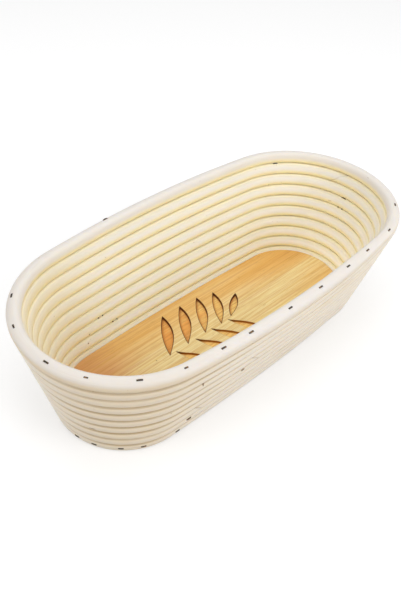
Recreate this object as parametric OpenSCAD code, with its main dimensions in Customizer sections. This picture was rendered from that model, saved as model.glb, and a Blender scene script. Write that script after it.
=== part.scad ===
// Oval proofing basket: a flared wall wound from round cane, row on row and stapled, round a wooden
// bottom of two boards, the upper one with leaves cut through it.
// X runs along the basket, Y across it and Z up. The origin is the middle of the underside.

/* [Oval] */
// Overall length at the rim
rim_length = 300; // [270:1:360]
// Overall width at the rim
rim_width = 145; // [125:1:190]
// How far each long side bulges out at the rim
rim_bulge = 5; // [1:0.5:12]
// Overall length at the foot
base_length = 259.5; // [220:0.5:290]
// Overall width at the foot
base_width = 97; // [80:0.5:130]
// How far each long side bulges out at the foot
base_bulge = 2; // [1:0.5:10]

/* [Cane] */
// Thickness of the cane
cane_d = 8.15; // [5:0.05:11]
// Rows of cane from the foot to the rim
row_count = 10; // [5:1:14]
// Clear gap between neighbouring rows
row_gap = 0.5; // [0.45:0.05:1.5]
// Length of wall over which every turn climbs to the next row
climb_length = 80; // [60:5:110]
// How much of the climb lies round the right end
climb_past = 30; // [0:5:40]
// Length of the slanted cut that joins two lengths of cane
scarf_length = 14; // [6:1:20]
// Least thickness of the tapered tips of the winding
tip_thickness = 1; // [0.8:0.1:3]
// Height of the lowest row above the table
foot_lift = 0.45; // [0.35:0.05:2]

/* [Bottom boards] */
// Thickness of the plain board underneath
bottom_t = 5.2; // [3:0.1:8]
// Thickness of the board with the leaves
pattern_t = 2; // [1:0.1:5]
// Clearance between the edge of the boards and the cane
edge_clearance = 0.2; // [0.1:0.05:0.8]

/* [Leaves] */
// Lengths of the leaves of one side, from the foot of the stem on
leaf_lengths = [38.2, 38, 36.4, 33]; // [10:0.1:40]
// Places along the basket of the inner tips of the far side's leaves
far_leaf_places = [-41.4, -24.2, -7.2, 8.2]; // [-50:0.1:20]
// Places along the basket of the inner tips of the near side's leaves
near_leaf_places = [-36, -17.2, -1.5, 14.6]; // [-50:0.1:20]
// Distances of the stem from the middle of the board at each pair of leaves
stem_offsets = [1.9, 1.9, 1.9, 0.9]; // [-3:0.1:3]
// Distance of the inner tips from the stem
leaf_gap = 0.5; // [0.3:0.1:3]
// Angle of the far side's leaves to the basket's length
far_leaf_angle = 55.5; // [45:0.5:70]
// Angle of the near side's leaves to the basket's length
near_leaf_angle = 65.5; // [45:0.5:70]
// Bulge of the longest leaf's front edge
leaf_front = 5; // [2:0.1:6]
// Bulge of the longest leaf's back edge
leaf_back = 2.6; // [0.5:0.1:4]
// How far the widest place of a front edge lies towards the outer tip, 1 for in the middle
leaf_lean = 1.2; // [1:0.05:1.4]
// Place of the inner tip of the leaf at the end of the stem
tip_leaf_place = [19.2, 2.4]; // [-5:0.1:30]
// Length of the leaf at the end of the stem
tip_leaf_length = 24.6; // [10:0.1:35]
// Angle of the leaf at the end of the stem
tip_leaf_angle = 36; // [20:1:60]
// Bulge of the front edge of the leaf at the end of the stem
tip_leaf_front = 3; // [1:0.1:4]
// Bulge of the back edge of the leaf at the end of the stem
tip_leaf_back = 2.4; // [1:0.1:4]

/* [Staples] */
// Width of a staple's crown
crown_w = 4.2; // [3:0.1:6]
// Width of the staple wire
wire_w = 1; // [0.6:0.05:1.3]
// Thickness of the staple wire
wire_t = 0.5; // [0.3:0.05:0.7]
// How far a crown stands out of the cane
crown_proud = 0.25; // [0.1:0.05:0.4]
// How deep the legs reach into the next row or the board
leg_bite = 6; // [3:0.5:8]
// Distance between the staples on the rim
rim_staple_pitch = 29; // [18:1:60]
// Rim staples for each staple of a lower row
rim_staple_share = 2; // [2:1:4]
// Distance between the staples that hold the lowest row to the boards
base_staple_pitch = 19; // [12:1:60]
// How far the rim staples move to the outside of the cane on the far long side
rim_staple_out = 2.7; // [0:0.1:3]
// How far off the middle of the row a staple shows in the seam
seam_peep = 2; // [0:0.1:3]
// How far below the middle of the lowest row its staples sit
base_staple_drop = 0.1; // [0:0.1:1.6]
// Clearance between the wires of staples that cross in the lowest row
wire_clearance = 0.3; // [0.1:0.1:0.8]

/* [Hidden] */
// Faces round the cane, one of them flat towards each neighbouring row
cane_sides = 8;
// Steps along an end, the far side and the near side of one turn
end_steps = 16;
far_steps = 4;
near_steps = 9;
// Share of the cane's width that is left where it tapers to nothing
tip_width_share = 0.6;
// Steps along an edge of a leaf, and how far the leaves' cut runs past both faces of the board
leaf_steps = 14;
cut_past = 1;
// Where the first staple of each row from the second on stands, counted in steps of the rim's staples.
// Neighbouring rows, and the rim and the row below it, stay a quarter of a step or more apart.
row_staple_firsts = [0.8, -0.19, 0.2, 1.23, 0.3, 1.28, 0.45, -0.43];
rim_staple_shift = 0.72;
base_staple_first = 0.5;
// Staples that show in the seam inside and outside, as [row from the foot, number in the row]
shown_inside = [[2, 6], [3, 2], [3, 6], [4, 6], [7, 1], [9, 3]];
shown_outside = [[3, 9], [5, 10], [7, 9], [3, 4], [6, 5], [8, 4]];

// Shares of the winding at which one length of cane ends and the next begins
splice_shares = [0.2778, 0.5833, 0.8141];
top_row = row_count - 1;
row_pitch = cane_d + row_gap;
lean_length = (rim_length - base_length) / 2 / top_row;
lean_width = (rim_width - base_width) / 2 / top_row;
row_rise = sqrt(pow(row_pitch, 2) - pow(min(lean_length, lean_width), 2));
// A turn is made of four quarters: right end, far side, left end and near side
quarter = 1 / 4;
side_length = base_length - base_width;
// Share of a turn at which its climb is done, past the beginning of the right end, and share that a climb takes
climb_end = quarter * climb_past / (PI / 2 * base_width);
climb = climb_end + quarter * (climb_length - climb_past) / side_length;
turn_stations = concat(
    [for (i = [0 : end_steps - 1]) quarter * i / end_steps],
    [for (i = [0 : far_steps - 1]) quarter * (1 + i / far_steps)],
    [for (i = [0 : end_steps - 1]) quarter * (2 + i / end_steps)],
    [for (i = [0 : near_steps - 1]) quarter * (3 + i / near_steps)]);
turn_rings = len(turn_stations);

// Value at a row that may lie between two rows, row 0 at the foot
function by_row(foot, rim, row) = foot + (rim - foot) * row / top_row;
function whole(t) = t - floor(t);
function smooth(v) = v <= 0 ? 0 : v >= 1 ? 1 : v * v * (3 - 2 * v);

// Oval of two end arcs and two side arcs that meet smoothly.
// Gives x, y and the outward direction at a share t of the way round.
function oval(half_length, half_width, bulge, t) =
    let (
        end_r = half_width - bulge,
        end_x = half_length - end_r,
        side_r = (end_x * end_x + half_width * half_width - end_r * end_r) / (2 * bulge),
        meet = atan2(side_r - half_width, end_x),
        part = floor(whole(t) / quarter),
        along = whole(t) / quarter - part,
        round_end = part % 2 == 0,
        begin = [-meet, meet, 180 - meet, 180 + meet][part],
        angle = begin + along * (round_end ? 2 * meet : 180 - 2 * meet),
        r = round_end ? end_r : side_r,
        middle = [[end_x, 0], [0, half_width - side_r], [-end_x, 0], [0, side_r - half_width]][part],
        out = [cos(angle), sin(angle)])
    [middle.x + r * out.x, middle.y + r * out.y, out.x, out.y];

// The oval of a row's middle line, drawn in by inset
function row_oval(row, t, inset = 0) = oval(
    by_row(base_length, rim_length, row) / 2 - cane_d / 2 - inset,
    by_row(base_width, rim_width, row) / 2 - cane_d / 2 - inset,
    by_row(base_bulge, rim_bulge, row), t);

// Point on the wall's middle surface
function wall_point(row, t) =
    let (o = row_oval(row, t)) [o.x, o.y, foot_lift + cane_d / 2 + row * row_rise];

// Directions on the wall: along the cane, up the wall and out of it
function wall_axes(row, t) =
    let (
        o = row_oval(row, t),
        level_out = [o[2], o[3], 0],
        step = wall_point(row + 1, t) - wall_point(row, t),
        outward = step * level_out,
        size = norm([outward, step.z]),
        up = (outward * level_out + [0, 0, step.z]) / size,
        out = (step.z * level_out - [0, 0, outward]) / size)
    [[-o[3], o[2], 0], up, out];

// Share of the climb to the next row that is done at a turn
function climbed(turn) = smooth((whole(turn - climb_end) - 1 + climb) / climb);
function climbs(turn) = whole(turn - climb_end) > 1 - climb;
function tapers_in(turn) = turn < climb_end;
function tapers_out(turn) = turn > row_count + climb_end - climb;

// Height of the cane up the wall: whole, but tapered under the first climb and over the last
function cane_height(turn) =
    tapers_in(turn) ? climbed(turn) * row_pitch - row_gap :
    tapers_out(turn) ? (1 - climbed(turn)) * row_pitch - row_gap : cane_d;

// Row at which the middle of the cane lies: the taper is flush with the foot and with the rim
function cane_row(turn) =
    tapers_in(turn) ? (cane_height(turn) - cane_d) / 2 / row_pitch :
    tapers_out(turn) ? top_row + (cane_d - cane_height(turn)) / 2 / row_pitch :
    floor(turn - climb_end) + climbed(turn);

// The winding's rings are counted on from the first whole turn
function ring_turn(ring) =
    let (turn = floor(ring / turn_rings)) turn + turn_stations[ring - turn * turn_rings];
function nearest_ring(turn) =
    let (
        count = len([for (t = turn_stations) if (t < whole(turn)) 1]),
        before = floor(turn) * turn_rings + count - 1)
    turn - ring_turn(before) < ring_turn(before + 1) - turn ? before : before + 1;
first_ring = min([for (ring = [-near_steps : end_steps]) if (cane_height(ring_turn(ring)) >= tip_thickness) ring]);
last_ring = max([for (ring = [row_count * turn_rings - near_steps : row_count * turn_rings + end_steps])
    let (turn = ring_turn(ring))
    if (turn < row_count + climb_end && cane_height(turn) >= tip_thickness) ring]);
splice_rings = [for (share = splice_shares) nearest_ring(share * row_count)];

// Points round the cane at one ring, sheared along the cane where two lengths are joined
function ring_points(ring) =
    let (
        turn = ring_turn(ring),
        row = cane_row(turn),
        high = cane_height(turn),
        wide = tip_width_share * cane_d + (1 - tip_width_share) * high,
        middle = wall_point(row, turn),
        axes = wall_axes(row, turn),
        shear = len(search(ring, splice_rings)) > 0 ? scarf_length / 2 : 0,
        reach = 0.5 / cos(180 / cane_sides))
    [for (i = [0 : cane_sides - 1])
        let (angle = 360 * (i + 0.5) / cane_sides)
        middle + reach * (wide * cos(angle) * axes[2] + high * sin(angle) * axes[1])
            - shear * sin(angle) * axes[0]];

// Least distance between points of turns that lie on one another, from ring a to ring b
function least_gap(a, b) = min([
    for (ring = [a : b - turn_rings + 1], beside = [-1 : 1])
        let (other = ring + turn_rings + beside)
        if (other <= b)
            min([for (p = ring_points(ring), q = ring_points(other)) norm(p - q)])]);

// One unbroken length of cane from ring a to ring b
module cane(a, b) {
    rings = [for (ring = [a : b]) ring_points(ring)];
    points = [for (ring = rings) each ring];
    last = len(rings) - 1;
    skin = [for (k = [0 : last - 1], i = [0 : cane_sides - 1])
        let (
            next = (i + 1) % cane_sides,
            here = k * cane_sides,
            there = here + cane_sides)
        each [[here + i, here + next, there + next], [here + i, there + next, there + i]]];
    end = last * cane_sides;
    caps = [for (i = [1 : cane_sides - 2]) each [[0, i + 1, i], [end, end + i, end + i + 1]]];
    polyhedron(points, concat(skin, caps), 10);
}

// Board inside the lowest row, with an edge that follows the cane at the same steps
module board(thickness) {
    inset = cane_d / 2 + edge_clearance;
    linear_extrude(thickness)
        polygon([for (t = turn_stations) let (o = row_oval(0, t, inset)) [o.x, o.y]]);
}

// Edge of a leaf from its inner tip at the origin along X, bulging to Y
function leaf_edge(length, bulge, lean) = [
    for (i = [0 : leaf_steps])
        let (along = i / leaf_steps, share = pow(along, lean))
        [along * length, 4 * bulge * share * (1 - share)]];

module leaf(length, front, back, lean) {
    front_edge = leaf_edge(length, -front, lean);
    back_edge = leaf_edge(length, back, 1);
    polygon(concat(front_edge, [for (i = [leaf_steps - 1 : -1 : 1]) back_edge[i]]));
}

module leaf_row(places, angle, side) {
    for (i = [0 : len(leaf_lengths) - 1]) {
        share = leaf_lengths[i] / max(leaf_lengths);
        translate([places[i], stem_offsets[i]])
            mirror([0, side < 0 ? 1 : 0])
                translate([0, leaf_gap])
                    rotate(angle)
                        leaf(leaf_lengths[i], share * leaf_front, share * leaf_back, leaf_lean);
    }
}

module leaves() {
    leaf_row(far_leaf_places, far_leaf_angle, 1);
    leaf_row(near_leaf_places, near_leaf_angle, -1);
    translate(tip_leaf_place)
        rotate(tip_leaf_angle)
            leaf(tip_leaf_length, tip_leaf_front, tip_leaf_back, leaf_lean);
}

// Staple with its crown along X at Y = 0 and its legs down
module staple(leg) {
    outer = crown_w / 2;
    inner = outer - wire_t;
    linear_extrude(wire_w, center = true)
        polygon([
            [-outer, 0], [-outer, -leg], [-inner, -leg], [-inner, -wire_t],
            [inner, -wire_t], [inner, -leg], [outer, -leg], [outer, 0]]);
}

// Stands a shape at a point with its X along the cane and its Y in a given direction
module stand(point, along, up) {
    side = cross(along, up);
    multmatrix([
        [along.x, up.x, side.x, point.x],
        [along.y, up.y, side.y, point.y],
        [along.z, up.z, side.z, point.z]])
        children();
}

// Even number of staples at about a given distance round an oval of a given length and width
function staple_count(length, width, pitch) =
    2 * round((length - width + PI / 2 * width) / pitch);
rim_staple_count = staple_count(rim_length, rim_width, rim_staple_pitch);
base_staple_count = staple_count(base_length, base_width, base_staple_pitch);
function row_staple_first(row) = row_staple_firsts[(row - 2) % len(row_staple_firsts)];
function shown(list, row, i) = len([for (place = list) if (place == [row, i]) 1]) > 0;

module bottom_plate() {
    color("#c9a05c")
        board(bottom_t);
}

module pattern_plate() {
    color("#e0bd74")
        translate([0, 0, bottom_t])
            difference() {
                board(pattern_t);
                translate([0, 0, -cut_past])
                    linear_extrude(pattern_t + 2 * cut_past)
                        leaves();
            }
}

module lower_cane() {
    color("#e9dcc3")
        cane(first_ring, splice_rings[0]);
}

module middle_cane() {
    color("#ede1ca")
        cane(splice_rings[0], splice_rings[1]);
}

module upper_cane() {
    color("#f0e5d0")
        cane(splice_rings[1], splice_rings[2]);
}

module rim_cane() {
    color("#f5ece0")
        cane(splice_rings[2], last_ring);
}

// Staple down through a row and a given way into the one below, aside of the middle line by a given distance
module cane_staple(row, t, aside, bite) {
    axes = wall_axes(row, t);
    seat = sqrt(pow(cane_d / 2, 2) - aside * aside) + crown_proud;
    stand(wall_point(row, t) + seat * axes[1] + aside * axes[2], axes[0], axes[1])
        staple(seat + cane_d / 2 + row_gap + bite);
}

// Staples through the lowest row into the edge of the boards, but not where the row climbs
module base_staples() {
    color("#4a4540")
        for (i = [0 : base_staple_count - 1]) {
            t = (i + base_staple_first) / base_staple_count;
            if (!climbs(t)) {
                along = wall_axes(0, t)[0];
                level_out = cross(along, [0, 0, 1]);
                point = wall_point(0, t) + (cane_d / 2 + crown_proud) * level_out;
                stand(point - [0, 0, base_staple_drop], along, level_out)
                    staple(cane_d + crown_proud + edge_clearance + leg_bite);
            }
        }
}

// Staples of one row, counted from 1 at the foot, but not where it climbs. Those of the second row stop
// above the base staples.
module row_staples(row) {
    bite = row == 2 ? cane_d / 2 + base_staple_drop - wire_w / 2 - wire_clearance : leg_bite;
    color("#4a4540")
        for (i = [0 : floor(rim_staple_count / rim_staple_share) - 1]) {
            t = whole((i * rim_staple_share + row_staple_first(row)) / rim_staple_count);
            aside = shown(shown_inside, row, i) ? -seam_peep : shown(shown_outside, row, i) ? seam_peep : 0;
            if (!climbs(t))
                cane_staple(row - 1, t, aside, bite);
        }
}

// Staples of the rim, nearer to its outside towards the far long side, but none past the winding's tip
module rim_staples() {
    tip = ring_turn(last_ring) - row_count;
    color("#4a4540")
        for (i = [0 : rim_staple_count - 1]) {
            t = whole((i + row_staple_first(top_row) + rim_staple_shift) / rim_staple_count);
            far = (1 + row_oval(top_row, t)[3]) / 2;
            if (whole(t - tip) > climb_end - tip)
                cane_staple(top_row, t, far * rim_staple_out, leg_bite);
        }
}

echo(str("least gap of the winding to itself: ", least_gap(first_ring, last_ring), " mm"));
echo(str("overall height: ", wall_point(top_row, 0).z + cane_d / 2, " mm"));

bottom_plate();
pattern_plate();
base_staples();
lower_cane();
middle_cane();
upper_cane();
rim_cane();
for (row = [2 : top_row])
    row_staples(row);
rim_staples();
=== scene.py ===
"""Oval proofing basket: cane wound row on row and stapled round a wooden bottom with a leaf sprig cut in it.

Metres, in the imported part's own frame: X along the basket, Y across it, Z up.
"""
import bmesh
import bpy
import numpy as np
from mathutils import Matrix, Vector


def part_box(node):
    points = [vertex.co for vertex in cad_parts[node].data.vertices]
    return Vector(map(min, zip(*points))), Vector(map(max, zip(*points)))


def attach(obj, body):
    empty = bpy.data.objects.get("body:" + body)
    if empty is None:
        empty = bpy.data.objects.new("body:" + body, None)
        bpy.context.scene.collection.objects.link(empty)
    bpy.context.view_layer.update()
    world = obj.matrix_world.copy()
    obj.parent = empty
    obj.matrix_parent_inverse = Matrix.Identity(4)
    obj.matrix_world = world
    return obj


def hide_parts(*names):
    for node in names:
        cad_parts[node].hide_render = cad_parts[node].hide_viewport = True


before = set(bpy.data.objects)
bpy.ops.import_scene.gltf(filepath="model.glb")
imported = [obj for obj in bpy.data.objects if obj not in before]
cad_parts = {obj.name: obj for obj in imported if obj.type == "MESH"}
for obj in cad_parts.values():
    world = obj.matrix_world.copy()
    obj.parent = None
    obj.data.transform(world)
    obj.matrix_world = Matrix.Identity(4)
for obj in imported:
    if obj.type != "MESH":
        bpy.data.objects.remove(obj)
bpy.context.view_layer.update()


# Plain board: a sheet of light plywood, sawn to the oval that the lowest row of cane is wound round.
# Its upper face is the floor of every leaf, toasted by the cutting of the leaves, so their sizes stand here.
# The staples of the lowest row go into its edge.
plain_low, plain_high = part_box("bottom_plate")
foot_bulge = 0.002
plain_edge_round = 0.0003
board_steps = 240
leaf_lengths = [0.0382, 0.0380, 0.0364, 0.0330]
far_leaf_places = [-0.0414, -0.0242, -0.0072, 0.0082]
near_leaf_places = [-0.0360, -0.0172, -0.0015, 0.0146]
stem_offsets = [0.0019, 0.0019, 0.0019, 0.0009]
leaf_gap = 0.0005
far_leaf_angle = np.radians(55.5)
near_leaf_angle = np.radians(65.5)
leaf_front = 0.005
leaf_back = 0.0026
tip_leaf_place = (0.0192, 0.0024)
tip_leaf_length = 0.0246
tip_leaf_angle = np.radians(36)
tip_leaf_front = 0.003
tip_leaf_back = 0.0024

# Stretches over which the floor of a leaf goes from toast to gold along X, and across towards the near side,
# where the gold is painted light that lifts the shaded near floors, and depths where toast starts and is
# full.
gold_along = (-0.045, 0.040)
near_painted_light_across = (0.002, -0.006)
toast_depths = (0.0004, 0.0001)
# Band along each far leaf's back edge, scorch from the cut and painted shadow of the leaf's wall: its width,
# how far it reaches past the edge, and the share of the length over which it comes in.
scorch_shadow_width = 0.0022
scorch_shadow_past = 0.002
scorch_shadow_start = 0.1
grain_depth = 0.00012
plain_pale = (0.72, 0.50, 0.25, 1)
plain_streak = (0.55, 0.33, 0.14, 1)
plain_toast = (0.83, 0.36, 0.072, 1)
plain_gold = (0.97, 0.64, 0.19, 1)
plain_line = (0.62, 0.24, 0.05, 1)
plain_brown = (0.46, 0.17, 0.04, 1)
plain_scorch_and_shadow = (0.62, 0.22, 0.035, 1)


def oval(half_length, half_width, bulge, t):
    """Oval of two end arcs and two side arcs that meet smoothly: right end, far side, left end, near side.

    t is the share of the way round, each arc taking a quarter. Gives x, y and the outward direction.
    """
    end_r = half_width - bulge
    end_x = half_length - end_r
    side_r = (end_x ** 2 + half_width ** 2 - end_r ** 2) / (2 * bulge)
    meet = np.arctan2(side_r - half_width, end_x)
    quarters = 4 * np.mod(t, 1)
    part = np.minimum(quarters.astype(int), 3)
    at_end = part % 2 == 0
    begin = np.choose(part, [-meet, meet, np.pi - meet, np.pi + meet])
    angle = begin + (quarters - part) * np.where(at_end, 2 * meet, np.pi - 2 * meet)
    r = np.where(at_end, end_r, side_r)
    across = np.choose(part, [0, half_width - side_r, 0, side_r - half_width])
    along = np.choose(part, [end_x, 0, -end_x, 0])
    return along + r * np.cos(angle), across + r * np.sin(angle), np.cos(angle), np.sin(angle)


def oval_loops(half_length, half_width, bulge, insets, heights):
    """Closed loops round a board, one for each inset and height: the oval drawn in by the inset."""
    t = np.arange(board_steps) / board_steps
    inset = np.broadcast_to(np.reshape(insets, (len(heights), -1)), (len(heights), board_steps))
    x, y, out_x, out_y = oval(half_length, half_width, bulge, t)
    z = np.broadcast_to(np.reshape(heights, (-1, 1)), inset.shape)
    return np.stack([x - inset * out_x, y - inset * out_y, z], -1)


def loop_quads(loops, steps, first=0):
    """Quads between closed loops of points that follow one another, numbered from first."""
    ring = np.arange(steps)
    beside = (ring + 1) % steps
    low = first + steps * np.arange(loops - 1)[:, None]
    high = low + steps
    return np.stack([low + ring, low + beside, high + beside, high + ring], -1).reshape(-1, 4)


def tube_faces(loops, steps):
    """Quads between the loops of a tube, and a cap on each end of it."""
    ring = np.arange(steps)
    return [*loop_quads(loops, steps), ring[::-1], (loops - 1) * steps + ring]


def smooth_faces(mesh, sharp_angle):
    """Shades a mesh smooth, with sharp edges over an angle in radians."""
    mesh.polygons.foreach_set("use_smooth", np.ones(len(mesh.polygons), bool))
    mesh.set_sharp_from_angle(angle=sharp_angle)


def new_piece(name, points, faces, finish, replaced, sharp_angle=0.6):
    """A smooth mesh piece that stands for the replaced nodes."""
    mesh = bpy.data.meshes.new(name)
    mesh.from_pydata(np.reshape(points, (-1, 3)).tolist(), [], [list(map(int, face)) for face in faces])
    smooth_faces(mesh, sharp_angle)
    mesh.materials.append(finish)
    piece = bpy.data.objects.new(name, mesh)
    bpy.context.scene.collection.objects.link(piece)
    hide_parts(*replaced)
    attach(piece, "root")
    return piece


class Tone:
    """A value, colour or vector on its way through a material. Arithmetic on values adds Math nodes."""

    def __init__(self, tree, socket=None):
        self.tree = tree
        self.socket = socket

    def node(self, kind, settings=None, sockets=None, out=0):
        """Adds a node of a type: its settings first, then the values or links of its sockets."""
        made = self.tree.nodes.new("ShaderNode" + kind)
        for key, value in (settings or {}).items():
            setattr(made, key, value)
        for key, value in (sockets or {}).items():
            if isinstance(value, Tone):
                self.tree.links.new(value.socket, made.inputs[key])
            else:
                made.inputs[key].default_value = value
        return Tone(self.tree, made.outputs[out] if len(made.outputs) else None)

    def maths(self, operation, a, b):
        """A Math node on two values."""
        return self.node("Math", {"operation": operation}, {0: a, 1: b})

    def __add__(self, other):
        return self.maths("ADD", self, other)

    def __radd__(self, other):
        return self.maths("ADD", other, self)

    def __sub__(self, other):
        return self.maths("SUBTRACT", self, other)

    def __rsub__(self, other):
        return self.maths("SUBTRACT", other, self)

    def __mul__(self, other):
        return self.maths("MULTIPLY", self, other)

    def __rmul__(self, other):
        return self.maths("MULTIPLY", other, self)

    def step(self, low, high):
        """Goes smoothly from 0 at low to 1 at high."""
        ease = {"interpolation_type": "SMOOTHSTEP"}
        return self.node("MapRange", ease, {0: self, 1: low, 2: high, 3: 0.0, 4: 1.0})

    def mix(self, low, high):
        """The colour that goes from low to high as this value goes from 0 to 1."""
        return self.node("Mix", {"data_type": "RGBA"}, {0: self, 6: low, 7: high}, out=2)

    def noise(self, lumps, detail=2.0, roughness=0.5):
        """Noise about 0.5 with that many lumps a metre along each axis."""
        spread = self.node("VectorMath", {"operation": "MULTIPLY"}, {0: self, 1: lumps})
        grain = {"Vector": spread, "Scale": 1.0, "Detail": detail, "Roughness": roughness}
        return self.node("TexNoise", sockets=grain)

    def axis(self, name):
        """The X, Y or Z of a vector."""
        return self.node("SeparateXYZ", sockets={0: self}, out=name)

    def attribute(self, name, out):
        """A value or vector that the piece keeps for each of its points."""
        return self.node("Attribute", {"attribute_name": name}, out=out)

    def laid(self, centre, heading, sizes):
        """This place as seen from a centre, turned to a level heading, in units of three sizes."""
        turned = {"Vector": self, "Location": centre, "Rotation": (0, 0, heading), "Scale": sizes}
        return self.node("Mapping", {"vector_type": "TEXTURE"}, turned)

    def spot(self, centre, heading, sizes):
        """1 in a small egg about a centre and 0 outside it: half sizes along a heading, across it and up."""
        egg = self.laid(centre, heading, sizes)
        return self.node("VectorMath", {"operation": "LENGTH"}, {0: egg}, out="Value").step(1.0, 0.5)

    def bump(self, strength, depth):
        """A Normal raised by this value, depth metres from 0 to 1."""
        raised = {"Strength": strength, "Distance": depth, "Height": self}
        return self.node("Bump", sockets=raised, out="Normal")

    def surface(self, sockets):
        """Ends a material with a Principled surface."""
        shader = self.node("BsdfPrincipled", sockets=sockets)
        self.node("OutputMaterial", sockets={"Surface": shader})


def new_finish(name):
    """An empty material, and the place on the piece that its pattern starts from."""
    finish = bpy.data.materials.new(name)
    finish.use_nodes = True
    finish.node_tree.nodes.clear()
    return finish, Tone(finish.node_tree).node("TexCoord", out="Object")


def side_leaves(places, angle, side):
    """The four leaves on one side of the stem: place, angle, side, length and the bulge of both edges."""
    longest = max(leaf_lengths)
    return [(x, y + side * leaf_gap, angle, side, length, leaf_front * length / longest,
             leaf_back * length / longest)
            for x, y, length in zip(places, stem_offsets, leaf_lengths)]


far_leaves = [*side_leaves(far_leaf_places, far_leaf_angle, 1),
              (*tip_leaf_place, tip_leaf_angle, 1, tip_leaf_length, tip_leaf_front, tip_leaf_back)]
leaves = [*far_leaves, *side_leaves(near_leaf_places, near_leaf_angle, -1)]


def leaf_scorch_and_shadow(place, leaf):
    """1 on the floor along a far leaf's back edge, v = 4 b s (1 - s), going to 0 a band's width inside:
    scorch from the cut and painted shadow of the leaf's wall.
    """
    x, y, angle, _, length, _, back = leaf
    laid = place.laid((x, y, 0), angle, (length, 1, 1))
    share = laid.axis("X")
    inward = 4 * back * share * (1 - share) - laid.axis("Y")
    under_edge = inward.step(-scorch_shadow_past, -scorch_shadow_past / 2)
    return inward.step(scorch_shadow_width, 0.0) * under_edge * share.step(0.0, scorch_shadow_start)


def plain_board_finish():
    """Plywood with grain along X: broad streaks, fine fibres and darker pores, toasted on its upper face. The
    near leaves' floors are painted more golden, as painted light against their shade, and along each far
    leaf's back edge lies scorch with a painted shadow of the leaf's wall.
    """
    finish, place = new_finish("toasted plywood")
    streak = place.noise((16, 330, 330), 3.0, 0.6)
    patch = place.noise((60, 110, 60))
    fibre = place.noise((70, 1700, 1700))
    line = place.noise((20, 800, 800), 2.0, 0.6).step(0.5, 0.62)
    pore = place.noise((130, 2600, 2600), 1.0).step(0.64, 0.74)
    toasted = place.axis("Z").step(*[plain_high.z - depth for depth in toast_depths])
    right = place.axis("X").step(*gold_along)
    # Painted light: the near leaves' floors, which lie in the wall's shade, are lifted towards gold.
    near = place.axis("Y").step(*near_painted_light_across)
    golden = right + near * 1.1 + (patch - 0.5) * 0.8 + (streak - 0.5) * 1.5
    wood = golden.step(0.0, 1.0).mix(plain_toast, plain_gold)
    wood = (line * 0.45).mix(wood, plain_line)
    # Scorch and painted wall shadow along each far leaf's back edge.
    for leaf in far_leaves:
        wood = (leaf_scorch_and_shadow(place, leaf) * 0.8).mix(wood, plain_scorch_and_shadow)
    wood = (fibre.step(0.5, 0.72) * 0.4).mix(wood, plain_brown)
    under = (fibre.step(0.45, 0.75) * 0.3 + streak.step(0.5, 0.7) * 0.3).mix(plain_pale, plain_streak)
    colour = toasted.mix(under, wood)
    colour = (pore * 0.35).mix(colour, plain_brown)
    relief = fibre - pore * 0.6
    roughness = 0.62 + fibre * 0.1
    place.surface({"Base Color": colour, "Roughness": roughness, "Normal": relief.bump(0.35, grain_depth)})
    return finish


plain_insets = [plain_edge_round, 0, 0, plain_edge_round]
plain_heights = [plain_low.z, plain_low.z + plain_edge_round, plain_high.z - plain_edge_round, plain_high.z]
plain_loops = oval_loops(plain_high.x, plain_high.y, foot_bulge, plain_insets, plain_heights)
new_piece("board_plain", plain_loops, tube_faces(len(plain_loops), board_steps), plain_board_finish(),
          ["bottom_plate"])


# Cane wall: peeled round rattan core, wound in an oval that widens row by row from the foot to the rim.
# It is laid in four lengths, joined end to end by slanted scarf cuts, and every turn climbs to the next row
# at the near right corner. The winding starts and ends in a taper, so that foot and rim are level.
rim_length = 0.300
rim_width = 0.145
rim_bulge = 0.005
base_length = 0.2595
base_width = 0.097
cane_inset = 0.004075
foot_lift = 0.00045
floor_clear = 0.0001
row_count = 10
row_pitch = 0.00865
climb_length = 0.080
climb_past = 0.030
scarf_length = 0.014
scarf_ease = 0.021
tip_width_share = 0.6
tip_height = 0.0006
tongue_length = 0.005
tongue_tip = 0.15
section_power = 0.76
mean_slack = 0.00005
slow_wave = 41
slow_wave_share = 0.6
quick_wave = 97
top_row = row_count - 1
lean = min(rim_length - base_length, rim_width - base_width) / 2 / top_row
row_rise = np.sqrt(row_pitch ** 2 - lean ** 2)
rim_top = foot_lift + cane_inset + top_row * row_rise + row_pitch / 2

# Places along the winding are counted in turns. A turn is roughly turn_length long.
turn_length = 0.7
end_arc = np.pi / 2 * base_width
side_arc = base_length - base_width
climb_end = climb_past / end_arc / 4
climb = climb_end + (climb_length - climb_past) / side_arc / 4
splice_turns = [2.77778, 5.83333, 8.140625]
cane_sides = 24
rings_per_turn = 240
end_rings = [0, 0.0004, 0.0009, 0.0016, 0.0028]
even_rings_from = 0.0045
cut_stain_length = 0.0012

# Ticks and dots on the cane: row, share of the way round, half length and half height.
outer_marks = [(6.27, 0.7663, 0.0008, 0.0026), (4.14, 0.8197, 0.0021, 0.0010), (2.80, 0.6669, 0.0026, 0.0005),
               (1.57, 0.7857, 0.0006, 0.0009)]
inner_marks = [(1.92, 0.4888, 0.0009, 0.0005), (1.27, 0.4931, 0.0007, 0.0006), (6.70, 0.2220, 0.0008, 0.0005),
               (6.65, 0.1500, 0.0007, 0.0004), (6.65, 0.1572, 0.0007, 0.0004), (2.62, 0.1470, 0.0008, 0.0005),
               (1.68, 0.1879, 0.0020, 0.0003)]
mark_depth = 0.006
fibre_depth = 0.00015
glow_depth = 0.0015

# Stretches over which the cane turns darker and yellower to the left and to the near side, and over which the
# inside is painted lighter towards the bottom, as painted light against the board's shade.
cane_left = (-0.05, -0.12)
cane_near = (0.010, -0.040)
inside_low_painted_light = (0.075, 0.0)

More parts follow.
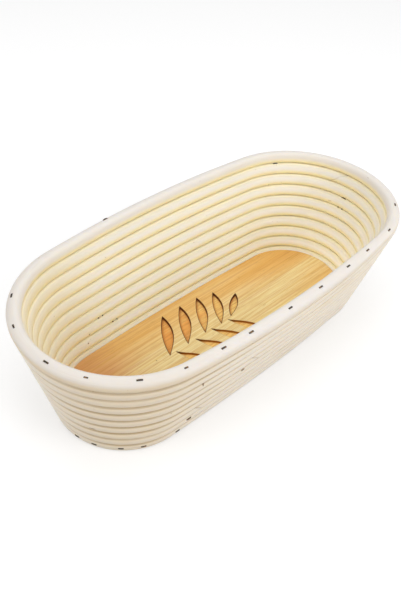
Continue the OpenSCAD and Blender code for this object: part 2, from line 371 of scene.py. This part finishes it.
# Colours in pairs are those of the right end and the left end, or outside only of the near left. The low
# crowns and flanks are the lower inside rows' colours, painted lighter as painted light against the board's
# shade.
outer_crowns = (0.87, 0.795, 0.69, 1), (0.80, 0.69, 0.54, 1)
high_crowns = (0.825, 0.795, 0.735, 1), (0.76, 0.67, 0.47, 1)
# Flanks and rim sides take the yellow painted on the cane's under-sides as warm bounce light from the board,
# and random patches.
high_flanks = (0.95, 0.845, 0.54, 1), (0.83, 0.705, 0.395, 1)
low_crowns_painted_light = (0.93, 0.90, 0.845, 1), (0.87, 0.775, 0.56, 1)
low_flanks_painted_light = (1.0, 0.93, 0.63, 1), (0.94, 0.81, 0.475, 1)
rim_faces = (0.745, 0.70, 0.655, 1), (0.715, 0.665, 0.61, 1)
rim_sides = (0.83, 0.73, 0.60, 1), (0.80, 0.67, 0.49, 1)
rim_inner = (0.76, 0.717, 0.662, 1)
outer_flank = (0.87, 0.73, 0.50, 1)
# Painted shade and painted light on the inner rows' tops: the shoulder and the lit edge.
inner_shoulder_painted_shade = (0.77, 0.71, 0.57, 1)
inner_lit_edge = (0.95, 0.88, 0.68, 1)
# Seam browns, for grime and painted crease shade between the rows.
outer_seam_brown = (0.44, 0.31, 0.16, 1)
inner_seam_brown = (0.50, 0.31, 0.10, 1)
fleck_brown = (0.30, 0.14, 0.05, 1)
cut_brown = (0.40, 0.22, 0.08, 1)
mark_brown = (0.16, 0.07, 0.02, 1)


def by_row(foot, rim, row):
    """Size at a row, going evenly from the foot to the rim."""
    return foot + (rim - foot) * row / top_row


def wall_point(row, t):
    """Point of the wall's middle surface at a row, and its level outward direction."""
    x, y, out_x, out_y = oval(
        by_row(base_length, rim_length, row) / 2 - cane_inset,
        by_row(base_width, rim_width, row) / 2 - cane_inset,
        by_row(foot_bulge, rim_bulge, row), t)
    z = foot_lift + cane_inset + row * row_rise
    return np.stack([x, y, z + 0 * x], -1), np.stack([out_x, out_y, 0 * x], -1)


def wall_axes(row, t):
    """Directions along the cane, up the wall and out of it."""
    here, level_out = wall_point(row, t)
    step = wall_point(row + 1, t)[0] - here
    outward = (step * level_out).sum(-1, keepdims=True)
    rise = step[..., 2:]
    size = np.hypot(outward, rise)
    sky = np.array([0.0, 0.0, 1.0])
    along = np.stack([-level_out[..., 1], level_out[..., 0], 0 * outward[..., 0]], -1)
    return along, (outward * level_out + rise * sky) / size, (rise * level_out - outward * sky) / size


def climbed(turn):
    """Share of the climb to the next row that is done at a turn, an S-curve over the last stretch of it."""
    share = np.clip((np.mod(turn - climb_end, 1) - 1 + climb) / climb, 0, 1)
    return share ** 2 * (3 - 2 * share)


def cane_course(turn):
    """Row of the cane's middle and its height at a turn, tapered below the first climb and over the last."""
    done = climbed(turn)
    starts = turn < climb_end
    ends = turn > row_count + climb_end - climb
    height = np.where(starts, done, np.where(ends, 1 - done, 1))
    whole_row = np.floor(turn - climb_end) + done
    row = np.where(starts, (height - 1) / 2, np.where(ends, top_row + (1 - height) / 2, whole_row))
    return row, height * row_pitch


def squared(value):
    """Sine or cosine of the section's angle, drawn out so that a circle turns slightly square."""
    return np.sign(value) * np.abs(value) ** section_power


def section_reach(off):
    """How far the whole section reaches up or out at a distance off its middle."""
    half = row_pitch / 2
    return half * (1 - np.abs(off / half) ** (2 / section_power)) ** (section_power / 2)


def end_distance(rings, begin, end, at_begin, at_end):
    """Distance along the cane to the nearer of the ends that are asked for, or far off if none is."""
    to_begin = np.where(at_begin, rings - begin, 1)
    to_end = np.where(at_end, end - rings, 1)
    return np.minimum(to_begin, to_end) * turn_length


def cane_slack(laid, begin):
    """How much thinner the cane is at a distance along it: a mean waved by a slow and a quicker sine."""
    slow = slow_wave_share * np.sin(slow_wave * laid + begin)
    quick = (1 - slow_wave_share) * np.sin(quick_wave * laid + 2 * begin)
    return mean_slack * (1 + slow + quick)


def cane_surface(begin, end, cut_begin, cut_end):
    """Points of a length of cane on a grid of rings along it and places round it.

    A point is the wall's middle at its turn, plus half the section's width times the squared cosine of its
    angle out of the wall, and half the section's height times the squared sine up the wall. At a cut the turn
    is moved on by half the scarf's length times the sine, so the end face slants. At a loose end the width
    shrinks to a rounded tongue.

    Gives the points, their places on the cane laid straight, how near a cut they lie, and how far the row
    above is missing. On a taper, the straight place's height is drawn out to that of the whole section.
    """
    close_rings = np.array(end_rings) / turn_length
    margin = even_rings_from / turn_length
    even_rings = np.linspace(begin + margin, end - margin, int((end - begin) * rings_per_turn))
    rings = np.concatenate([begin + close_rings, even_rings, end - close_rings[::-1]])
    angle = 2 * np.pi * (np.arange(cane_sides) + 0.5) / cane_sides - np.pi / 2
    slant = -np.sin(angle) * scarf_length / 2 / turn_length
    at_begin = np.clip(1 - (rings - begin) * turn_length / scarf_ease, 0, 1) * cut_begin
    at_end = np.clip(1 - (end - rings) * turn_length / scarf_ease, 0, 1) * cut_end
    turn = rings[:, None] + (at_begin + at_end)[:, None] * slant
    row, height = cane_course(turn)
    loose = np.clip(end_distance(rings, begin, end, not cut_begin, not cut_end) / tongue_length, 0, 1)
    tongue = tongue_tip + (1 - tongue_tip) * np.sqrt(1 - (1 - loose) ** 2)
    width = (tip_width_share * row_pitch + (1 - tip_width_share) * height) * tongue[:, None]
    centre = wall_point(cane_course(rings)[0], rings)[0]
    course = np.concatenate([[0], np.cumsum(np.linalg.norm(np.diff(centre, axis=0), axis=1))])
    laid = np.interp(turn, rings, course)
    slack = cane_slack(laid, begin)
    _, up, out = wall_axes(row, turn)
    out_part = (width / 2 - slack) * squared(np.cos(angle))
    up_part = (height / 2 - slack * height / row_pitch) * squared(np.sin(angle))
    points = wall_point(row, turn)[0] + out_part[..., None] * out + up_part[..., None] * up
    points[..., 2] = np.clip(points[..., 2], floor_clear, rim_top)
    straight = np.stack([laid + begin, out_part, up_part * row_pitch / height], -1)
    from_cut = end_distance(rings, begin, end, cut_begin, cut_end)
    cut = np.broadcast_to(np.clip(1 - from_cut / cut_stain_length, 0, 1)[:, None], turn.shape)
    climb_top = top_row + climb_end
    bare = np.where(turn > climb_top, 1.0, np.where(turn > climb_top - climb, climbed(turn), 0.0))
    return points, straight, cut, bare


def cane_skin(place, out, inside, left, near_left, bare):
    """Colours of the cane's crown and flank, outside, inside and on the rim. Inside, both are painted lighter
    on the lower rows, as painted light against the board's shade.
    """
    # Painted light: the inside's lower rows are painted lighter against the shade of the board.
    low = place.axis("Z").step(*inside_low_painted_light)
    inner_crown = low.mix(left.mix(*high_crowns), left.mix(*low_crowns_painted_light))
    inner_flank = low.mix(left.mix(*high_flanks), left.mix(*low_flanks_painted_light))
    rim_crown = out.step(0.0015, -0.0030).mix(left.mix(*rim_faces), rim_inner)
    crown = bare.mix(inside.mix(near_left.mix(*outer_crowns), inner_crown), rim_crown)
    flank = inside.mix(bare.mix(outer_flank, left.mix(*rim_sides)), inner_flank)
    return crown, flank


def seam_dirt_and_shade(up, inside, left, near_left, bare, patch):
    """How much brown goes in the seams, grime and painted crease shade: under and over the cane outside,
    darker under the rim at the left as painted shade, and only deep in the gap inside.
    """
    covered = 1 - bare
    under = up.step(-0.0019, -0.0031) + up.step(0.0004, -0.0024) * bare * left * 0.45
    over = up.step(0.0025, 0.0034) * covered
    outer_seam = (under + over) * (1 - inside) * (0.27 + near_left * 0.13 + patch.step(0.3, 0.7) * 0.4)
    gap = up.step(-0.0037, -0.0041) + up.step(0.0040, 0.0043) * covered
    return outer_seam + gap * inside * patch.step(0.4, 0.65) * 0.3


def draw_marks(place, colour):
    """Adds the ticks and dots, each an egg on the cane's outer or inner face at its row and turn."""
    for side, marks in ((1, outer_marks), (-1, inner_marks)):
        for row, t, half_along, half_up in marks:
            middle, level_out = wall_point(row, np.array(t))
            heading = np.arctan2(level_out[0], -level_out[1])
            centre = middle + side * row_pitch / 2 * level_out
            mark = place.spot(centre.tolist(), heading, (half_along, mark_depth, half_up))
            colour = (mark * 0.85).mix(colour, mark_brown)
    return colour


def cane_finish(name):
    """Peeled cane: fibres along it, pale crowns, brown seams of grime and painted crease shade, and a few
    flecks. Under-sides are painted yellow as warm bounce light from the board, mostly inside, and each row's
    shoulder carries painted shade, with a painted lit edge at its top inside.

    Heights are metres up the cane's section, which reaches half a row's pitch either way.
    """
    finish, place = new_finish(name)
    straight = place.attribute("straight", "Vector")
    cut = place.attribute("cut", "Fac")
    bare = place.attribute("bare", "Fac")
    fibre = straight.noise((32, 1700, 1700))
    streak = straight.noise((9, 420, 420), 2.0, 0.6)
    patch = straight.noise((14, 60, 60))
    fleck = straight.noise((230, 900, 900), 1.0).step(0.79, 0.82)
    up = straight.axis("Z")
    out = straight.axis("Y")
    inside = out.step(0.001, -0.001)
    left = place.axis("X").step(*cane_left)
    near_left = left * place.axis("Y").step(*cane_near)
    crown, flank = cane_skin(place, out, inside, left, near_left, bare)
    covered = 1 - bare
    # Painted light: each row's under-side turns yellow as painted warm bounce from the board, mostly inside,
    # and so does the rim's outer foot.
    below = up.step(0.0010, -0.0032) * (0.35 + inside * 0.65)
    rim_foot_painted_bounce = up.step(0.0046, 0.0002) * bare * (1 - inside)
    yellow = below + rim_foot_painted_bounce + (streak - 0.5) * 0.5 * (1 - bare * 0.6)
    colour = yellow.step(0.0, 1.0).mix(crown, flank)
    # Painted shade on each row's upper shoulder, and inside a painted lit edge at its very top, in the
    # crease's shade.
    above = up.step(0.0006, 0.0030) * covered * (0.2 + inside * 0.6)
    colour = above.mix(colour, inside.mix(outer_flank, inner_shoulder_painted_shade))
    colour = (up.step(0.0028, 0.0038) * inside * covered).mix(colour, inner_lit_edge)
    colour = (patch.step(0.5, 0.72) * 0.25 * (1 - bare * 0.7)).mix(colour, flank)
    # Grime and painted crease shade in the seams.
    dirt_and_shade = seam_dirt_and_shade(up, inside, left, near_left, bare, patch) + fibre.step(0.55, 0.75) * 0.08
    colour = dirt_and_shade.mix(colour, inside.mix(outer_seam_brown, inner_seam_brown))
    colour = (fleck * 0.6).mix(colour, fleck_brown)
    colour = (cut * (0.1 + patch.step(0.4, 0.6) * 0.6)).mix(colour, cut_brown)
    relief = fibre * 0.7 + streak * 0.3
    place.surface({"Base Color": draw_marks(place, colour), "Roughness": 0.55 + fibre * 0.16,
                   "Specular IOR Level": 0.3, "Subsurface Weight": 0.35,
                   "Subsurface Radius": (1.0, 0.8, 0.5), "Subsurface Scale": glow_depth,
                   "Normal": relief.bump(0.3, fibre_depth)})
    return finish


def point_values(piece, name, values):
    """Keeps a value for each point of a piece, for its material to read."""
    piece.data.attributes.new(name, "FLOAT", "POINT").data.foreach_set("value", np.ravel(values))


def cane_length(name, begin, end, cut_begin, cut_end, finish, node):
    """One length of cane from turn to turn of the winding, slanted where it is cut to meet another."""
    points, straight, cut, bare = cane_surface(begin, end, cut_begin, cut_end)
    faces = [face[::-1] for face in tube_faces(len(points), cane_sides)]
    piece = new_piece(name, points, faces, finish, [node])
    straight_places = piece.data.attributes.new("straight", "FLOAT_VECTOR", "POINT")
    straight_places.data.foreach_set("vector", straight.ravel())
    point_values(piece, "cut", cut)
    point_values(piece, "bare", bare)


# A taper ends at the tip's height, where the S-curve is nearly three times the square of its share.
tip = climb * np.sqrt(tip_height / row_pitch / 3)
winding_start = climb_end - climb + tip
winding_end = row_count + climb_end - tip
wall_finish = cane_finish("peeled cane")
rim_finish = cane_finish("rim cane")
cane_length("cane_lower", winding_start, splice_turns[0], False, True, wall_finish, "lower_cane")
cane_length("cane_middle", splice_turns[0], splice_turns[1], True, True, wall_finish, "middle_cane")
cane_length("cane_upper", splice_turns[1], splice_turns[2], True, True, wall_finish, "upper_cane")
cane_length("cane_rim", splice_turns[2], winding_end, True, False, rim_finish, "rim_cane")


# Leaf board: a thinner sheet of plywood glued on the plain board, fitted against the lowest row of cane.
# A laser has cut nine lens-shaped leaves right through it, in pairs along a stem, and burnt their walls dark.
# Each leaf lies between two curved edges that meet in points.
leaf_low, leaf_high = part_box("pattern_plate")
leaf_lean = 1.2
leaf_steps = 32
tip_growth = 2.0
edge_fit = 0.00004
edge_loop_count = 5
face_inset = 0.0006
leaf_sharp_angle = 0.7

# Stretches over which the board's colour changes towards its sides and, as painted light, towards the near
# leaves, and depths at the edge of its face.
board_left = (-0.035, -0.115)
board_right = (0.03, 0.115)
board_far = (0.004, 0.040)
board_near_painted_light = (0.0015, -0.0030)
face_depths = (0.0002, 0.00005)
burn_full_depth = 0.0004
board_speck = (-0.0521, 0.0045, leaf_high.z)
board_speck_sizes = (0.0007, 0.0006, 0.001)
honey_dark = (0.76, 0.55, 0.22, 1)
honey_pale = (0.86, 0.72, 0.38, 1)
honey_toast = (0.76, 0.41, 0.09, 1)
honey_scorch = (0.64, 0.31, 0.125, 1)
streak_brown = (0.56, 0.24, 0.07, 1)
line_brown = (0.60, 0.29, 0.10, 1)
fibre_brown = (0.56, 0.31, 0.09, 1)
pore_brown = (0.38, 0.19, 0.06, 1)
speck_brown = (0.30, 0.17, 0.07, 1)

# Burnt walls, in pairs from the floor to the face. The near leaves' walls are a painted lit copy of the far
# ones' burn.
far_burns = (0.27, 0.08, 0.015, 1), (0.10, 0.03, 0.007, 1)
near_burns_painted_lit = (0.50, 0.20, 0.03, 1), (0.28, 0.10, 0.012, 1)

# Loops of a leaf's cut, up its wall and out over the face: how far out, how far below the face, how burnt.
cut_grows = [0, 0, 0.00003, 0.0001, 0.00035, 0.0007]
cut_depths = [leaf_high.z - leaf_low.z, 0.0003, 0.0001, 0, 0, 0]
cut_burns = [0.8, 1, 1, 1, 0.7, 0]


def leaf_outline(length, front, back, grow):
    """Leaf along X from its inner tip at the origin, grown by a distance, and by more at its tips.

    Each edge bulges to 4 b s (1 - s) at the share s of the length. The front edge takes a power of s, so its
    widest place lies nearer to the outer tip.
    """
    share = (1 - np.cos(np.pi * np.arange(leaf_steps) / leaf_steps)) / 2
    leaning = share ** leaf_lean
    front_edge = np.stack([share * length, -4 * front * leaning * (1 - leaning)], -1)
    back_edge = np.stack([(1 - share) * length, 4 * back * share * (1 - share)], -1)
    edge = np.concatenate([front_edge, back_edge])
    along = np.roll(edge, -1, 0) - np.roll(edge, 1, 0)
    out = np.stack([along[:, 1], -along[:, 0]], -1) / np.linalg.norm(along, axis=1, keepdims=True)
    reach = np.ones((len(edge), 1))
    reach[[0, leaf_steps]] = tip_growth
    return edge + grow * reach * out


def placed_leaf(outline, x, y, angle, side):
    """Turns a leaf to its angle, mirrors it for the near side and moves its tip to its place."""
    turned_x = outline[:, 0] * np.cos(angle) - outline[:, 1] * np.sin(angle)
    turned_y = outline[:, 0] * np.sin(angle) + outline[:, 1] * np.cos(angle)
    return np.stack([x + turned_x, y + side * turned_y], -1)[::side]


def leaf_wall(x, y, angle, side, length, front, back):
    """Loops of points up the wall of a leaf's cut and out over the face: the outline grown loop by loop."""
    outlines = [placed_leaf(leaf_outline(length, front, back, grow), x, y, angle, side) for grow in cut_grows]
    heights = leaf_high.z - np.array(cut_depths)
    return np.stack([np.c_[outline, np.full(len(outline), z)] for outline, z in zip(outlines, heights)])


def edge_reach(height):
    """How far the board's edge stays inside the lowest row's middle line: the cane's own curve plus a fit."""
    t = np.arange(board_steps) / board_steps
    cane_middle = foot_lift + cane_inset
    round_reach = section_reach(height - cane_middle)
    keep = climbed(t + climb / 2) + climbed(t - climb / 2) + climbed(t)
    return np.where(keep > 0, row_pitch / 2, round_reach) + edge_fit


def fill_board(mesh):
    """Fills the board's flat upper and lower faces, between its edge and the leaves."""
    middle = (leaf_low.z + leaf_high.z) / 2
    builder = bmesh.new()
    builder.from_mesh(mesh)
    open_edges = [edge for edge in builder.edges if edge.is_boundary]
    upper = [edge for edge in open_edges if edge.verts[0].co.z > middle]
    lower = [edge for edge in open_edges if edge.verts[0].co.z < middle]
    for edges in (upper, lower):
        bmesh.ops.triangle_fill(builder, use_beauty=True, use_dissolve=False, edges=edges)
    bmesh.ops.recalc_face_normals(builder, faces=builder.faces)
    builder.to_mesh(mesh)
    builder.free()
    smooth_faces(mesh, leaf_sharp_angle)


def honey_grain(place):
    """Colour of the board's grain along X, browner at its ends and far edge, and its fibres and pores."""
    streak = place.noise((8, 300, 300), 4.0, 0.7)
    line = place.noise((9, 1000, 1000), 2.0, 0.6)
    band = place.noise((4, 60, 60))
    fibre = place.noise((50, 1300, 1300))
    pore = place.noise((120, 2400, 2400), 1.0).step(0.64, 0.74)
    left = place.axis("X").step(*board_left)
    right = place.axis("X").step(*board_right)
    far = place.axis("Y").step(*board_far)
    toast = right * 0.35 + far * 0.85 + (band - 0.5) * 1.2
    scorch = left * 0.95 + (band - 0.5) * 0.8 + (streak - 0.5) * 1.3
    browned = (toast + scorch).step(0.2, 0.9)
    colour = streak.step(0.32, 0.62).mix(honey_dark, honey_pale)
    colour = (toast.step(0.05, 1.0) * 0.85).mix(colour, honey_toast)
    colour = (scorch.step(0.1, 1.0) * 0.95).mix(colour, honey_scorch)
    colour = (streak.step(0.5, 0.3) * (0.12 + browned * 0.35)).mix(colour, streak_brown)
    colour = (line.step(0.5, 0.66) * (0.45 + left * 0.3)).mix(colour, line_brown)
    colour = (fibre.step(0.5, 0.72) * 0.3).mix(colour, fibre_brown)
    return (pore * 0.4).mix(colour, pore_brown), fibre, pore


def leaf_board_finish():
    """Honey plywood, burnt on the walls of its leaves and in a thin line round them, with one dark speck. On
    the near leaves the burnt walls are painted lighter as painted light, and their line on the face is
    fainter.
    """
    finish, place = new_finish("honey plywood")
    colour, fibre, pore = honey_grain(place)
    burn = place.attribute("burn", "Fac")
    # Painted light: the near leaves' burnt walls are painted lighter, and their line on the face fades.
    near = place.axis("Y").step(*board_near_painted_light)
    height = place.axis("Z")
    on_face = height.step(*[leaf_high.z - depth for depth in face_depths])
    edge = (burn + (fibre - 0.5) * 0.4).step(0.15, 0.85) * (1 - near * on_face * 0.8)
    up_wall = height.step(leaf_low.z, leaf_high.z - burn_full_depth)
    burnt = near.mix(up_wall.mix(*far_burns), up_wall.mix(*near_burns_painted_lit))
    colour = edge.mix(colour, burnt)
    speck = place.spot(board_speck, 0.0, board_speck_sizes)
    colour = (speck * 0.7).mix(colour, speck_brown)
    relief = fibre - pore * 0.6
    place.surface({"Base Color": colour, "Roughness": 0.55 + fibre * 0.12 + edge * 0.2,
                   "Specular IOR Level": 0.3, "Normal": relief.bump(0.3, grain_depth)})
    return finish


edge_heights = np.linspace(leaf_low.z, leaf_high.z, edge_loop_count)
edge_insets = np.stack([edge_reach(height) for height in edge_heights])
edge_loops = oval_loops(
    base_length / 2 - cane_inset, base_width / 2 - cane_inset, foot_bulge,
    np.concatenate([edge_insets, edge_insets[-1:] + face_inset]), [*edge_heights, leaf_high.z])
board_walls = [edge_loops, *[leaf_wall(*leaf) for leaf in leaves]]
wall_firsts = np.cumsum([0, *[wall[..., 0].size for wall in board_walls]])
leaf_board = new_piece(
    "board_leaves", np.concatenate([wall.reshape(-1, 3) for wall in board_walls]),
    np.concatenate([loop_quads(*wall.shape[:2], first) for wall, first in zip(board_walls, wall_firsts)]),
    leaf_board_finish(), ["pattern_plate"])
leaf_burns = np.tile(np.repeat(cut_burns, 2 * leaf_steps), len(leaves))
point_values(leaf_board, "burn", np.concatenate([np.zeros(edge_loops[..., 0].size), leaf_burns]))
fill_board(leaf_board.data)


# Staples: flat steel wire bent into a U, shot through each row into the one below it, and through the lowest
# row into the boards. On the rim and round the foot their crowns show, browned and pressed into the cane.
# In the other rows the next row covers them, and only a few peep out of a seam.
crown_width = 0.0042
wire_width = 0.001
wire_thick = 0.0005
bend_radius = 0.0007
crown_arch = 0.00008
leg_bite = 0.006
rim_staple_count = 26
row_staple_count = 13
base_staple_count = 34
row_staple_firsts = [0.8, -0.19, 0.2, 1.23, 0.3, 1.28, 0.45, -0.43]
rim_staple_shift = 0.72
base_staple_first = 0.5
rim_staple_out = 0.0008
seam_peep = 0.002
base_staple_drop = 0.0001

# How far a crown stands proud of the cane or is sunk in it.
crown_proud = 0.00022
rim_crown_proud = 0.0002
base_sunk = 0.0002
seam_sunk = 0.0001
deep_sunk = 0.0005
rim_sunk = 0.0004

# Staples between rows that show, by row and number.
shown_inside = [(3, 6), (4, 6), (7, 1), (9, 3)]
shown_outside = [(3, 9), (7, 9), (3, 4), (6, 5), (8, 4)]
sunk_crowns = [(3, 6), (4, 6)]
short_legs = [(9, 3)]

# Listed one by one: shifts are shares of the spacing, by number, and depths are extra depths of a crown.
rim_hand_shifts = {0: -0.08, 1: 0.08, 11: -0.08, 14: 0.26, 15: 0.17, 16: 0.36, 17: 0.20, 18: 0.17, 19: 0.08,
                   21: -0.26, 22: -0.09, 23: -0.06, 25: -0.16}
rim_depths = {3: 0.00025, 11: -0.0002, 15: 0.00015, 17: 0.00025, 19: 0.00025, 22: 0.00008}
base_hand_shifts = {21: 0.26, 24: -0.17, 25: 0.23, 26: -0.43}
base_high_staple = 26
base_high_row = 1.09
high_staple_leg = 0.0062

# Crowns that the photograph would show and doesn't are sunk: on the far rim all but one, and round the near
# foot all but those on its left bend.
camera_side = np.array([-0.76, -0.65, 0.0])
far_rim_facing = -0.1
far_rim_staple = 11
base_shown_from = 0.63
base_shown_to = 0.77
wire_dark = (0.030, 0.020, 0.011, 1)
wire_scuffed = (0.13, 0.09, 0.05, 1)
wire_rust = (0.24, 0.12, 0.04, 1)


def staple_shape(leg):
    """Flat wire carried along a U: leg, bend, arched crown, bend, leg. Crown along X, legs down Y."""
    half = crown_width / 2 - wire_thick / 2
    bend = np.radians([180, 150, 120, 90])
    corner = np.array([-half + bend_radius, -wire_thick / 2 - bend_radius])
    left = np.stack([np.cos(bend), np.sin(bend)], -1)
    path = np.concatenate([
        [[-half, -leg]], corner + bend_radius * left, [[0, crown_arch - wire_thick / 2]],
        (corner + bend_radius * left)[::-1] * [-1, 1], [[half, -leg]]])
    side = np.concatenate([[[-1, 0]], left, [[0, 1]], left[::-1] * [-1, 1], [[1, 0]]])
    outer = path + side * wire_thick / 2
    inner = path - side * wire_thick / 2
    corners = [(outer, -1), (outer, 1), (inner, 1), (inner, -1)]
    return np.stack([np.c_[edge, np.full(len(edge), at * wire_width / 2)] for edge, at in corners], 1)


def staple_finish():
    """Browned steel wire: dark, half dull, with paler scuffs and rusty spots."""
    finish, place = new_finish("browned wire")
    scuff = place.noise((900, 900, 900))
    rust = place.noise((420, 420, 420)).step(0.5, 0.66)
    colour = scuff.step(0.5, 0.75).mix(wire_dark, wire_scuffed)
    colour = (rust * 0.8).mix(colour, wire_rust)
    place.surface({"Base Color": colour, "Metallic": 0.3 - rust * 0.2, "Roughness": 0.5 + scuff * 0.25})
    return finish


wire_finish = staple_finish()


def staple_group(name, legs, origins, along, up, node):
    """One piece of staples: each shape stood at its place, with its crown along the cane."""
    side = np.cross(along, up)
    shapes = np.stack([staple_shape(leg) for leg in legs])
    points = (origins[:, None, None] + shapes[..., :1] * along[:, None, None]
              + shapes[..., 1:2] * up[:, None, None] + shapes[..., 2:] * side[:, None, None])
    count, stations, corners, _ = points.shape
    firsts = np.arange(count)[:, None, None] * stations * corners
    faces = (np.array(tube_faces(stations, corners)) + firsts).reshape(-1, corners)
    new_piece(name, points, faces, wire_finish, [node])


def cane_staples(name, row, t, aside, bite, proud, node):
    """Staples down through a row, aside of its middle line by a distance."""
    along, up, out = wall_axes(row, t)
    seat = section_reach(aside) + proud
    origins = wall_point(row, t)[0] + seat[:, None] * up + aside[:, None] * out
    staple_group(name, seat + row_pitch / 2 + bite, origins, along, up, node)


def off_climb(t):
    """Whether a place lies off the stretch where the cane climbs."""
    return np.mod(t - climb_end, 1) <= 1 - climb


def by_number(values, numbers):
    """The values that are given for some numbers, and 0 for the others."""
    return np.array([values.get(number, 0) for number in numbers])


base_numbers = np.arange(base_staple_count)
base_numbers = base_numbers[off_climb((base_numbers + base_staple_first) / base_staple_count)]
base_shifts = by_number(base_hand_shifts, base_numbers)
base_t = (base_numbers + base_staple_first + base_shifts) / base_staple_count
base_high = base_numbers == base_high_staple
base_points, base_out = wall_point(np.where(base_high, base_high_row, 0), base_t)
base_hidden = (base_out @ camera_side > 0) & ((base_t < base_shown_from) | (base_t > base_shown_to))
base_seat = section_reach(base_staple_drop) + np.where(base_hidden, -base_sunk, crown_proud)
base_origins = base_points + base_seat[:, None] * base_out - [0, 0, base_staple_drop]
base_legs = np.where(base_high, high_staple_leg, row_pitch + leg_bite)
staple_group("staples_base", base_legs, base_origins, wall_axes(0, base_t)[0], base_out, "base_staples")
row_numbers = np.arange(row_staple_count)
for row in range(2, row_count):
    inside, outside, sunk, short = [
        np.array([(row, number) in listed for number in row_numbers])
        for listed in (shown_inside, shown_outside, sunk_crowns, short_legs)]
    row_t = np.mod((2 * row_numbers + row_staple_firsts[row - 2]) / rim_staple_count, 1)
    row_aside = seam_peep * (outside.astype(float) - inside)
    row_bite = np.where(short, -row_pitch / 4, row_pitch / 2 if row == 2 else leg_bite)
    row_proud = np.where(sunk, -deep_sunk, np.where(inside | outside, crown_proud, -seam_sunk))
    kept = off_climb(row_t)
    cane_staples(f"staples_row_{row}", row - 1, row_t[kept], row_aside[kept], row_bite[kept], row_proud[kept],
                 f"row_{row}_staples")
rim_numbers = np.arange(rim_staple_count)
rim_shifts = rim_staple_shift + by_number(rim_hand_shifts, rim_numbers)
rim_t = np.mod((rim_numbers + row_staple_firsts[-1] + rim_shifts) / rim_staple_count, 1)
rim_out = wall_point(top_row, rim_t)[1]
rim_far = (1 + rim_out[:, 1]) / 2
rim_hidden = (rim_out @ camera_side < far_rim_facing) & (rim_numbers != far_rim_staple)
rim_proud = np.where(rim_hidden, -rim_sunk, rim_crown_proud) - by_number(rim_depths, rim_numbers)
cane_staples("staples_rim", top_row, rim_t, rim_far * rim_staple_out, leg_bite, rim_proud, "rim_staples")


# Stage: a white floor that keeps the basket's soft shadow, softboxes overhead, in front and at the left, and
# an even white surround.
floor_size = 6.0
floor_level = -0.0001
floor_white = (0.60, 0.60, 0.60, 1)
floor_glow = (0.46, 0.46, 0.46, 1)
surround_level = 0.45
nearly_y = (0, 1, 0.001)
softboxes = {
    "overhead softbox": {"at": (0.15, 0.05, 1.3), "target": (0, 0, 0), "size": 1.1, "watts": 5.6},
    "front softbox": {"at": (0.2, -1.1, 0.68), "target": (0, 0, 0.03), "size": 0.9, "watts": 8.0},
    "left softbox": {"at": (-1.1, 0.2, 0.85), "target": (0, 0, 0.03), "size": 0.9, "watts": 6.2},
}


def on_rays(tone, *kinds):
    """1 on rays of these kinds and 0 on others."""
    return sum(tone.node("LightPath", out=kind) for kind in kinds).step(0.0, 1.0)


def floor_finish():
    """Matt white that looks a little brighter to the camera and in reflections, so it runs out to white."""
    finish, place = new_finish("white floor")
    seen = on_rays(place, "Is Camera Ray", "Is Glossy Ray", "Is Transmission Ray")
    place.surface({"Base Color": floor_white, "Roughness": 0.9, "Specular IOR Level": 0.0,
                   "Emission Color": seen.mix((0, 0, 0, 1), floor_glow), "Emission Strength": 1.0})
    return finish


def softbox(name, at, target, size, watts):
    """Square area lamp at a point, facing a target, with one side square to Y or nearly so."""
    lamp = bpy.data.lights.new(name, "AREA")
    lamp.size = size
    lamp.energy = watts
    stand = bpy.data.objects.new(name, lamp)
    back = np.subtract(at, target)
    back = back / np.linalg.norm(back)
    right = np.cross(nearly_y, back)
    right = right / np.linalg.norm(right)
    turn = Matrix(np.c_[right, np.cross(back, right), back].tolist()).to_4x4()
    stand.matrix_world = Matrix.Translation(at) @ turn
    bpy.context.scene.collection.objects.link(stand)


floor_corners = np.array([[-1, -1], [1, -1], [1, 1], [-1, 1]]) * floor_size / 2
floor_mesh = bpy.data.meshes.new("floor")
floor_mesh.from_pydata([(*corner, floor_level) for corner in floor_corners.tolist()], [], [(0, 1, 2, 3)])
floor_mesh.materials.append(floor_finish())
floor = bpy.data.objects.new("floor", floor_mesh)
bpy.context.scene.collection.objects.link(floor)
for name, setting in softboxes.items():
    softbox(name, **setting)
world = bpy.data.worlds.new("white surround")
bpy.context.scene.world = world
world.use_nodes = True
world.node_tree.nodes.clear()
air = Tone(world.node_tree)
glow = surround_level + on_rays(air, "Is Camera Ray", "Is Glossy Ray") * (1 - surround_level)
sky = air.node("Background", sockets={"Color": (1, 1, 1, 1), "Strength": glow})
air.node("OutputWorld", sockets={"Surface": sky})
bpy.context.scene.view_settings.view_transform = "Standard"


# Camera: at the photograph's place and angle, looking down at the basket from its left near corner.
# Its angles are the heading about Z, the tilt up from straight down, and the roll about its line of sight.
image_height = 601
focal_pixels = 723.12
camera_at = (-0.285024, -0.244808, 0.362235)
camera_heading = np.radians(-47.5360)
camera_tilt = np.radians(48.7689)
camera_roll = np.radians(4.2597)
camera = bpy.data.cameras.new("camera")
camera.sensor_width = 36.0
camera.lens = camera.sensor_width * focal_pixels / image_height
camera.clip_start = 0.01
tripod = bpy.data.objects.new("camera", camera)
aimed = Matrix.Rotation(camera_heading, 4, "Z") @ Matrix.Rotation(camera_tilt, 4, "X")
tripod.matrix_world = Matrix.Translation(camera_at) @ aimed @ Matrix.Rotation(camera_roll, 4, "Z")
bpy.context.scene.collection.objects.link(tripod)
bpy.context.scene.camera = tripod
